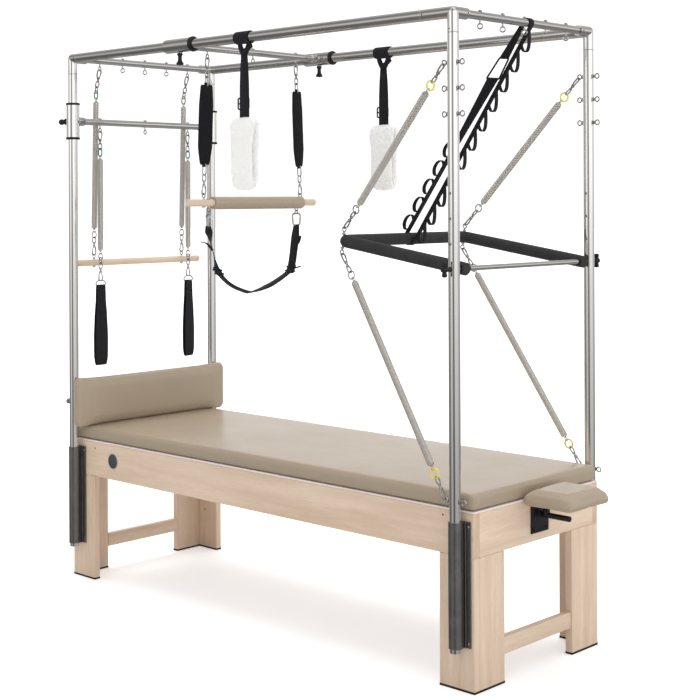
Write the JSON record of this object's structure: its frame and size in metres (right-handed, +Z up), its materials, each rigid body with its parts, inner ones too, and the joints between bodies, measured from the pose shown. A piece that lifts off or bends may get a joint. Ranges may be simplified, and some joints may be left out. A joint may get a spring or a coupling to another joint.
{
  "type": "pilates trapeze table",
  "caption": "Padded exercise table on wooden legs inside a steel tube canopy that carries sliding bars, springs, loops, a trapeze with a sling and a push-through bar.",
  "frame": {"origin": "on the floor, under the middle of the whole object", "axes": "+X along the table towards the foot end with the push-through bar, +Y across it, away from the side with the round badge, +Z up"},
  "size_m": [2.3976, 0.8746, 2.19],
  "materials": {
    "maple": "clear-lacquered maple",
    "pale_vinyl": "smooth beige vinyl",
    "dark_vinyl": "smooth taupe vinyl",
    "steel": "polished stainless tube",
    "dark_metal": "dark grey coated extrusion",
    "spring_steel": "nickel-plated spring and hook steel",
    "black_plastic": "black moulded plastic and coated steel",
    "black_webbing": "black webbing and padded fabric",
    "charcoal_foam": "charcoal foam sleeve over steel tube",
    "fleece": "white sheepskin"
  },
  "bodies": {
    "canopy_and_table": {"side_rail_front": "maple", "side_rail_back": "maple", "end_rail_head": "maple", "end_rail_foot": "maple", "leg_head_front": "maple", "leg_head_back": "maple", "leg_foot_front": "maple", "leg_foot_back": "maple", "stretcher_head": "maple", "stretcher_foot": "maple", "deck_board": "maple", "mattress": "pale_vinyl", "head_cushion": "dark_vinyl", "end_pad_bracket": "black_plastic", "end_pad": "pale_vinyl", "clamp_head_front": "dark_metal", "clamp_head_back": "dark_metal", "clamp_foot_front": "dark_metal", "clamp_foot_back": "dark_metal", "post_head_front": "steel", "post_head_back": "steel", "post_foot_front": "steel", "post_foot_back": "steel", "corner_head_front": "steel", "corner_head_back": "steel", "corner_foot_front": "steel", "corner_foot_back": "steel", "long_rail_front": "steel", "long_rail_back": "steel", "crossbar_head": "steel", "crossbar_foot": "steel", "push_rod": "steel", "push_spring_upper_front": "spring_steel", "push_spring_upper_back": "spring_steel", "push_spring_lower_front": "spring_steel", "push_spring_lower_back": "spring_steel", "safety_strap": "black_webbing"},
    "head_slide_bar": {"head_slider": "steel"},
    "head_pull_knob_front": {"head_knob_front": "black_plastic"},
    "head_pull_knob_back": {"head_knob_back": "black_plastic"},
    "hand_chain_front": {"hand_spring_front": "spring_steel"},
    "hand_chain_back": {"hand_spring_back": "spring_steel"},
    "hand_grip_front": {"hand_loop_front": "black_webbing"},
    "hand_grip_back": {"hand_loop_back": "black_webbing"},
    "top_slide_bar": {"top_slider": "steel"},
    "top_pull_knob_front": {"top_knob_front": "black_plastic"},
    "top_pull_knob_back": {"top_knob_back": "black_plastic"},
    "trapeze": {"trapeze_strap_front": "black_webbing", "trapeze_strap_back": "black_webbing", "trapeze_bar": "maple", "trapeze_pad": "dark_vinyl"},
    "sling": {"trapeze_sling": "black_webbing"},
    "roll_chains": {"roll_spring_front": "spring_steel", "roll_spring_back": "spring_steel"},
    "roll_down_bar": {"roll_bar": "maple"},
    "fleece_loop_front": {"fur_loop_front": "fleece"},
    "fleece_loop_back": {"fur_loop_back": "fleece"},
    "push_frame": {"push_bar": "charcoal_foam"},
    "wing_front": {"wing_knob_front": "black_plastic"},
    "wing_back": {"wing_knob_back": "black_plastic"}
  },
  "joints": [
    {"name": "head_bar_slide", "type": "slide", "parent": "canopy_and_table", "child": "head_slide_bar", "axis": [0, 0, 1], "range_m": [-0.2, 0.1]},
    {"name": "head_knob_front_pull", "type": "slide", "parent": "head_slide_bar", "child": "head_pull_knob_front", "axis": [-1, 0, 0], "range_m": [0, 0.008], "stiffness_N_per_m": 1500, "springref_m": -0.003},
    {"name": "head_knob_back_pull", "type": "slide", "parent": "head_slide_bar", "child": "head_pull_knob_back", "axis": [-1, 0, 0], "range_m": [0, 0.008], "stiffness_N_per_m": 1500, "springref_m": -0.003},
    {"name": "hand_front_swing", "type": "hinge", "parent": "head_slide_bar", "child": "hand_chain_front", "pos_m": [-1.10975, 0, 1.86166], "axis": [0, -1, 0], "range_deg": [0, 35]},
    {"name": "hand_front_pull", "type": "slide", "parent": "hand_chain_front", "child": "hand_grip_front", "axis": [0, 0, -1], "range_m": [0, 0.2], "stiffness_N_per_m": 250, "springref_m": -0.06, "deforming": ["hand_spring_front"]},
    {"name": "hand_back_swing", "type": "hinge", "parent": "head_slide_bar", "child": "hand_chain_back", "pos_m": [-1.10975, 0, 1.86166], "axis": [0, -1, 0], "range_deg": [0, 35]},
    {"name": "hand_back_pull", "type": "slide", "parent": "hand_chain_back", "child": "hand_grip_back", "axis": [0, 0, -1], "range_m": [0, 0.2], "stiffness_N_per_m": 250, "springref_m": -0.06, "deforming": ["hand_spring_back"]},
    {"name": "top_bar_slide", "type": "slide", "parent": "canopy_and_table", "child": "top_slide_bar", "axis": [1, 0, 0], "range_m": [-0.25, 0.2]},
    {"name": "top_knob_front_pull", "type": "slide", "parent": "top_slide_bar", "child": "top_pull_knob_front", "axis": [0, 0, -1], "range_m": [0, 0.008], "stiffness_N_per_m": 1500, "springref_m": -0.003},
    {"name": "top_knob_back_pull", "type": "slide", "parent": "top_slide_bar", "child": "top_pull_knob_back", "axis": [0, 0, -1], "range_m": [0, 0.008], "stiffness_N_per_m": 1500, "springref_m": -0.003},
    {"name": "trapeze_swing", "type": "hinge", "parent": "top_slide_bar", "child": "trapeze", "pos_m": [-0.41275, 0, 2.12266], "axis": [0, -1, 0], "range_deg": [-20, 30]},
    {"name": "sling_swing", "type": "hinge", "parent": "trapeze", "child": "sling", "pos_m": [-0.41275, 0, 1.52526], "axis": [0, -1, 0], "range_deg": [-15, 15]},
    {"name": "roll_bar_swing", "type": "hinge", "parent": "canopy_and_table", "child": "roll_chains", "pos_m": [-1.11104, 0, 2.12284], "axis": [0, 1, 0], "range_deg": [0, 40]},
    {"name": "roll_bar_pull", "type": "slide", "parent": "roll_chains", "child": "roll_down_bar", "axis": [-0.0287, 0, -0.9996], "range_m": [0, 0.3], "stiffness_N_per_m": 500, "springref_m": -0.06, "deforming": ["roll_spring_front", "roll_spring_back"]},
    {"name": "fleece_front_swing", "type": "hinge", "parent": "canopy_and_table", "child": "fleece_loop_front", "pos_m": [-0.04675, -0.378, 2.161], "axis": [-1, 0, 0], "range_deg": [-30, 30]},
    {"name": "fleece_back_swing", "type": "hinge", "parent": "canopy_and_table", "child": "fleece_loop_back", "pos_m": [-0.04675, 0.378, 2.161], "axis": [1, 0, 0], "range_deg": [-30, 30]},
    {"name": "push_frame_swing", "type": "hinge", "parent": "canopy_and_table", "child": "push_frame", "pos_m": [0.93625, 0, 1.346], "axis": [0, 1, 0], "range_deg": [0, 45], "stiffness_Nm_per_rad": 40, "deforming": ["push_spring_upper_front", "push_spring_upper_back", "push_spring_lower_front", "push_spring_lower_back", "safety_strap"]},
    {"name": "wing_knob_front_turn", "type": "hinge", "parent": "canopy_and_table", "child": "wing_front", "pos_m": [0.93625, -0.398, 1.346], "axis": [0, 1, 0], "continuous": true},
    {"name": "wing_knob_back_turn", "type": "hinge", "parent": "canopy_and_table", "child": "wing_back", "pos_m": [0.93625, 0.398, 1.346], "axis": [0, 1, 0], "continuous": true}
  ]
}
